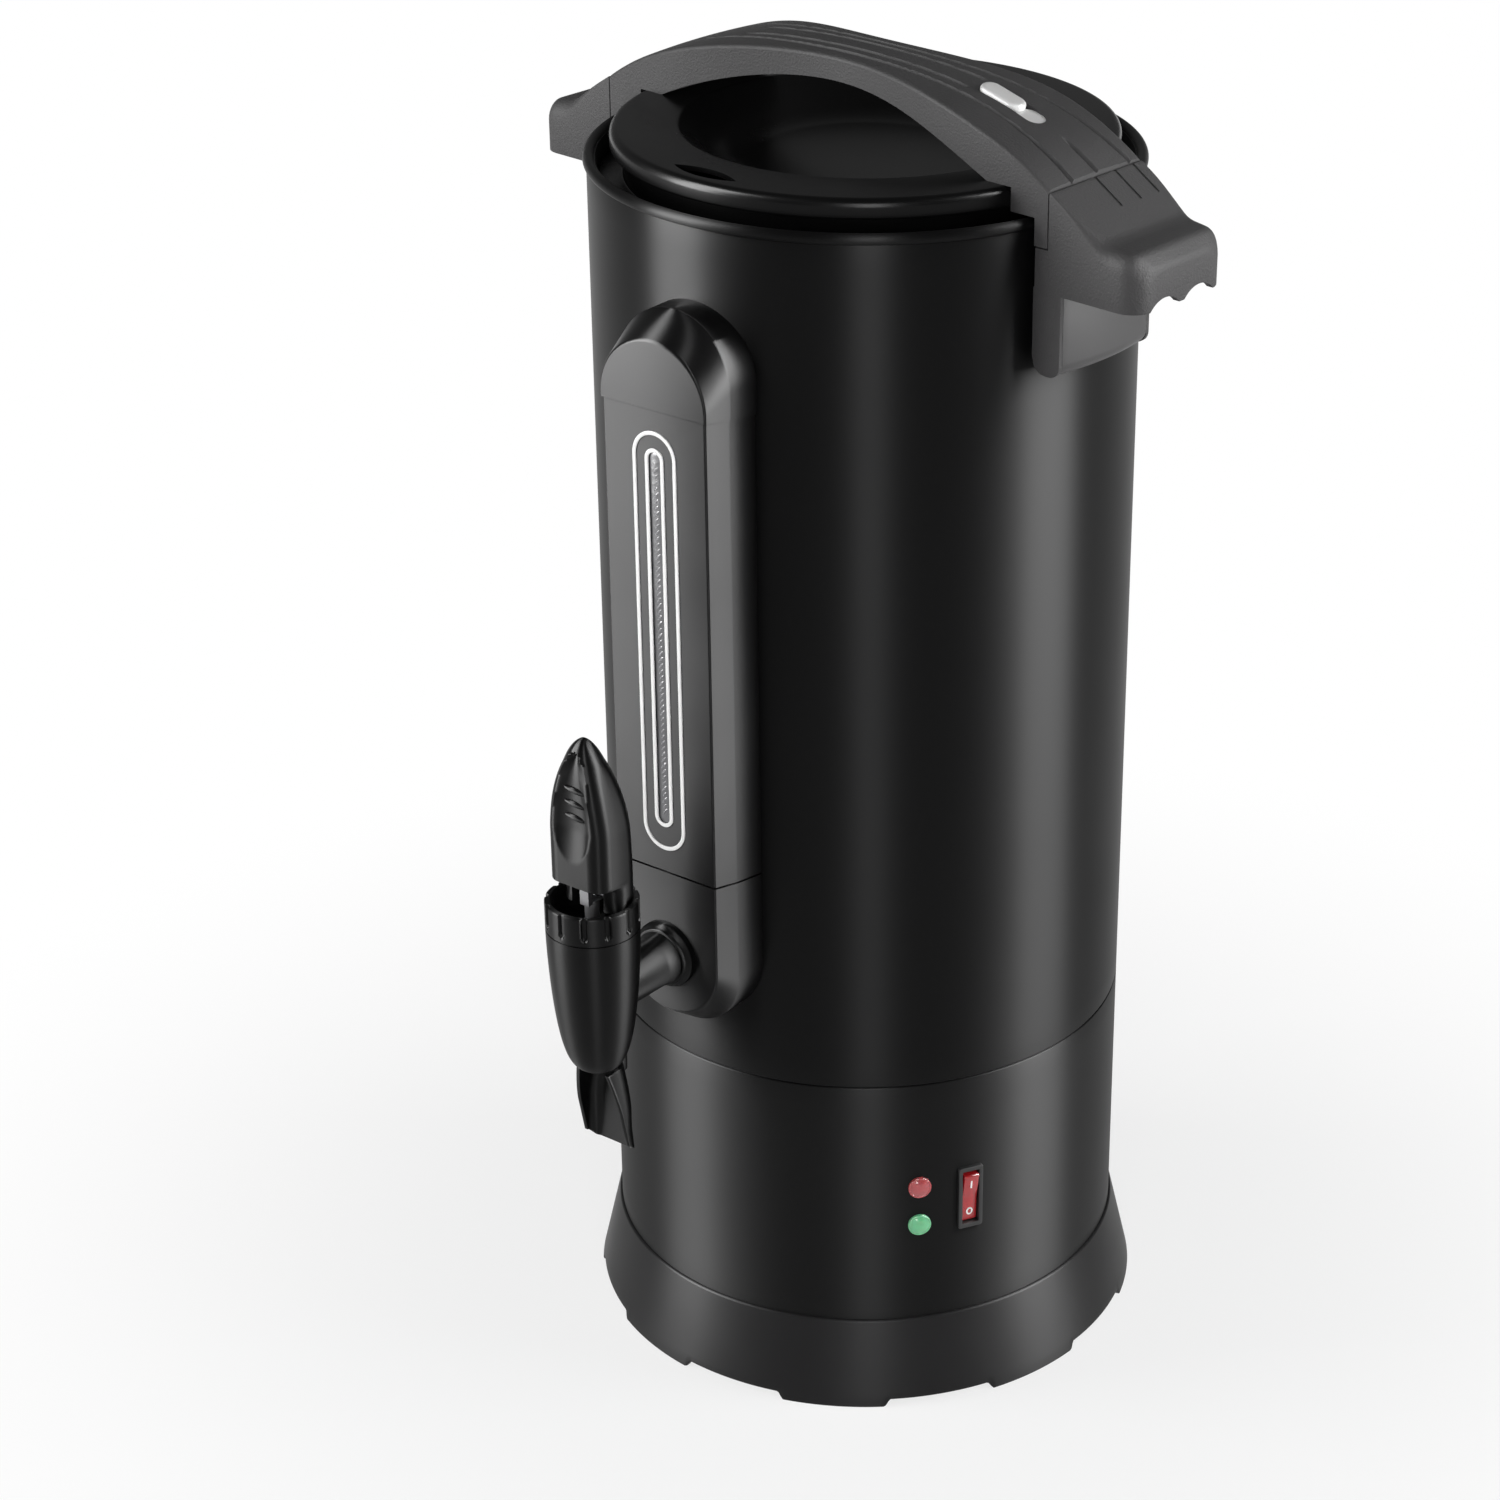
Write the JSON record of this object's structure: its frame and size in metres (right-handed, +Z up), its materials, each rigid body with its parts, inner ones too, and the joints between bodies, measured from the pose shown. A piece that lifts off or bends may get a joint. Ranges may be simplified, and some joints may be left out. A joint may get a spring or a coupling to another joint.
{
  "type": "hot water dispenser",
  "caption": "Tall electric hot water urn with a front sight gauge, a lever tap with a cup paddle, a lift-off lid under an arched carrying handle, and side handles.",
  "frame": {"origin": "on the body's vertical axis, at the plane that the feet stand on", "axes": "+Z up along the body's axis; the gauge and the tap face -Y; +X is the user's right when facing the tap"},
  "size_m": [0.3232, 0.3247, 0.572],
  "materials": {
    "shell_enamel": "satin black enamel over rolled sheet steel",
    "base_plastic": "satin moulded plastic",
    "plated_steel": "zinc plated pressed sheet",
    "tank_steel": "spun stainless steel",
    "fastener_steel": "plain turned steel",
    "heater_aluminium": "as cast",
    "element_sheath": "annealed sheath",
    "band_heater": "rolled strip",
    "control_ceramic": "moulded",
    "lamp_red": "clear tinted lens",
    "lamp_green": "clear tinted lens",
    "control_black": "fine moulded",
    "rocker_red": "clear tinted rocker",
    "gauge_plastic": "satin moulded plastic",
    "trim_white": "gloss moulded",
    "tube_glass": "drawn clear tube",
    "scale_grey": "printed plate",
    "cup_black": "moulded",
    "tap_gloss": "polished moulded plastic",
    "seal_silicone": "moulded silicone",
    "lid_gloss": "polished moulded plastic",
    "handle_plastic": "fine spark-eroded grain",
    "latch_plastic": "moulded acetal"
  },
  "bodies": {
    "root": {"base_ring": "base_plastic", "base_plate": "plated_steel", "base_screws": "fastener_steel", "tank_posts": "plated_steel", "lower_shell": "shell_enamel", "upper_shell": "shell_enamel", "seam_band": "plated_steel", "inner_tank": "tank_steel", "heater_plate": "heater_aluminium", "heating_element": "element_sheath", "keep_warm_band": "band_heater", "thermostat": "control_ceramic", "thermal_cutout": "control_ceramic", "terminal_block": "control_ceramic", "red_lamp": "lamp_red", "green_lamp": "lamp_green", "lamp_nuts": "control_black", "switch_frame": "control_black", "power_inlet": "control_black", "inlet_pins": "fastener_steel", "gauge_bottom_cap": "gauge_plastic", "gauge_panel": "gauge_plastic", "gauge_top_cap": "gauge_plastic", "window_trim": "trim_white", "tube_trim": "trim_white", "window_pane": "tube_glass", "sight_tube": "tube_glass", "scale_plate": "scale_grey", "gauge_lower_cup": "cup_black", "gauge_upper_cup": "cup_black", "gauge_bracket": "plated_steel", "tap_body": "tap_gloss", "shank_collar": "tap_gloss", "shank_spacer": "cup_black", "shank_gasket": "seal_silicone", "shank_nut": "fastener_steel", "tap_bonnet": "tap_gloss", "lever_pin": "fastener_steel", "tap_spring": "fastener_steel", "paddle_pin": "fastener_steel", "side_handle_right": "handle_plastic", "side_handle_left": "handle_plastic", "handle_pad_right": "handle_plastic", "handle_pad_left": "handle_plastic", "side_screws": "fastener_steel"},
    "lever": {"tap_lever": "tap_gloss", "link_pin": "fastener_steel"},
    "stem": {"tap_stem": "tank_steel", "seat_cup": "seal_silicone"},
    "paddle": {"cup_paddle": "tap_gloss"},
    "rocker": {"switch_rocker": "rocker_red"},
    "lid": {"lid_shell": "lid_gloss", "lid_liner": "tank_steel", "lid_gasket": "seal_silicone", "liner_screws": "fastener_steel", "lid_handle": "handle_plastic", "handle_cover": "handle_plastic", "arch_screws": "fastener_steel"},
    "lock": {"lock_slider": "trim_white", "latch_bolt": "latch_plastic"}
  },
  "joints": [
    {"name": "lever_pull", "type": "hinge", "parent": "root", "child": "lever", "pos_m": [0, -0.176, 0.272], "axis": [1, 0, 0], "range_deg": [0, 28], "stiffness_Nm_per_rad": 0.6, "springref_deg": -5.73},
    {"name": "stem_push", "type": "slide", "parent": "root", "child": "stem", "axis": [0, 0, -1], "range_m": [0, 0.0036], "deforming": ["tap_spring"]},
    {"name": "paddle_push", "type": "hinge", "parent": "root", "child": "paddle", "pos_m": [0, -0.1728, 0.1995], "axis": [1, 0, 0], "range_deg": [0, 19.5]},
    {"name": "rocker_press", "type": "hinge", "parent": "root", "child": "rocker", "pos_m": [0.09377, -0.05458, 0.0978], "axis": [-0.503, -0.8643, 0], "range_deg": [0, 14]},
    {"name": "lid_lift", "type": "slide", "parent": "root", "child": "lid", "axis": [0, 0, 1], "range_m": [0, 0.12]},
    {"name": "lock_slide", "type": "slide", "parent": "lid", "child": "lock", "axis": [0.9589, -0.0923, -0.2682], "range_m": [0, 0.009]}
  ],
  "couplings": [
    {"joint": "stem_push", "follows": "lever_pull", "m_per_rad": 0.007205},
    {"joint": "paddle_push", "follows": "lever_pull", "ratio": 0.68615}
  ]
}
